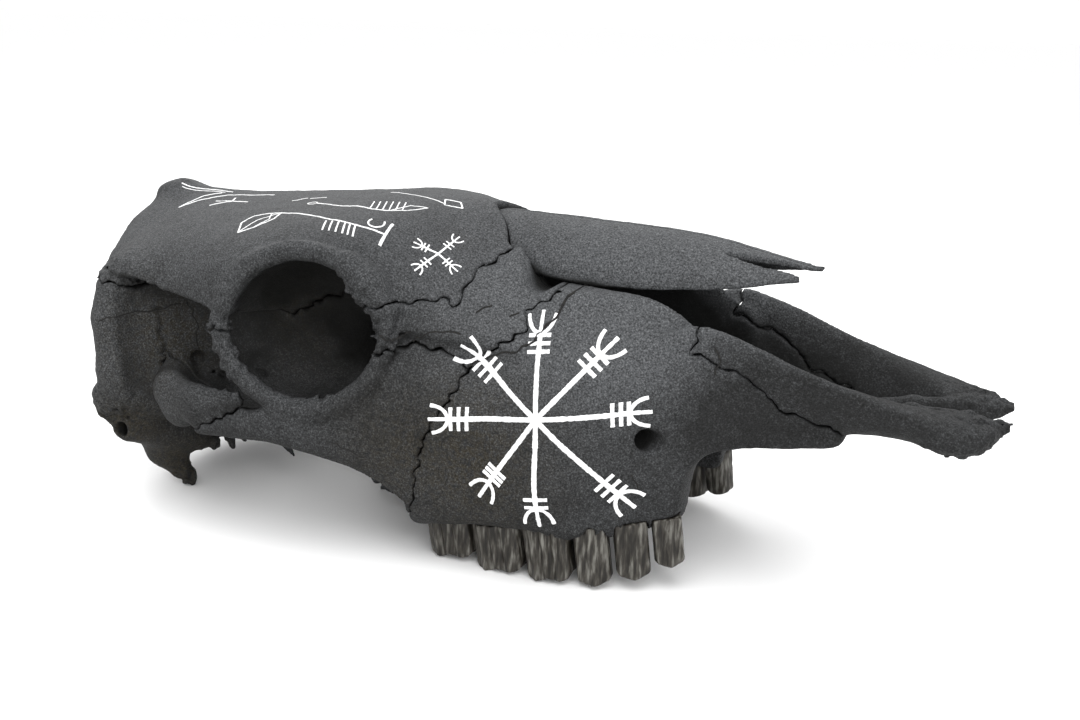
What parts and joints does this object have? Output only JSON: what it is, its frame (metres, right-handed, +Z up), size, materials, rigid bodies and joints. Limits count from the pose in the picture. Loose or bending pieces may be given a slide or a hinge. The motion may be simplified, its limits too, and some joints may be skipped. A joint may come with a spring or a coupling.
{
  "type": "cow skull",
  "caption": "Polled cow skull without its lower jaw, painted black with white staves: cranium, frontal bone, cheekbones, upper jaw and snout bones, nasal bones and cheek teeth.",
  "frame": {"origin": "on the surface that the skull lies on, under the middle of its box", "axes": "+X towards the nose, +Y to the skull's left, +Z up"},
  "size_m": [0.455, 0.1938, 0.1627],
  "materials": {
    "painted_bone": "matt black paint rubbed thin over bone, with white painted staves",
    "tooth": "grey enamel ridges, stained dark in the grooves"
  },
  "bodies": {
    "root": {"cranium": "painted_bone", "frontal": "painted_bone", "cheekbone_left": "painted_bone", "temporal_arch_left": "painted_bone", "lacrimal_left": "painted_bone", "pterygoid_left": "painted_bone", "premaxilla_left": "painted_bone", "maxilla_left": "painted_bone", "nasal_left": "painted_bone", "cheekbone_right": "painted_bone", "temporal_arch_right": "painted_bone", "lacrimal_right": "painted_bone", "pterygoid_right": "painted_bone", "premaxilla_right": "painted_bone", "maxilla_right": "painted_bone", "nasal_right": "painted_bone", "molar_3_left": "tooth", "molar_2_left": "tooth", "molar_1_left": "tooth", "premolar_4_left": "tooth", "premolar_3_left": "tooth", "premolar_2_left": "tooth", "molar_3_right": "tooth", "molar_2_right": "tooth", "molar_1_right": "tooth", "premolar_4_right": "tooth", "premolar_3_right": "tooth", "premolar_2_right": "tooth"}
  },
  "joints": []
}
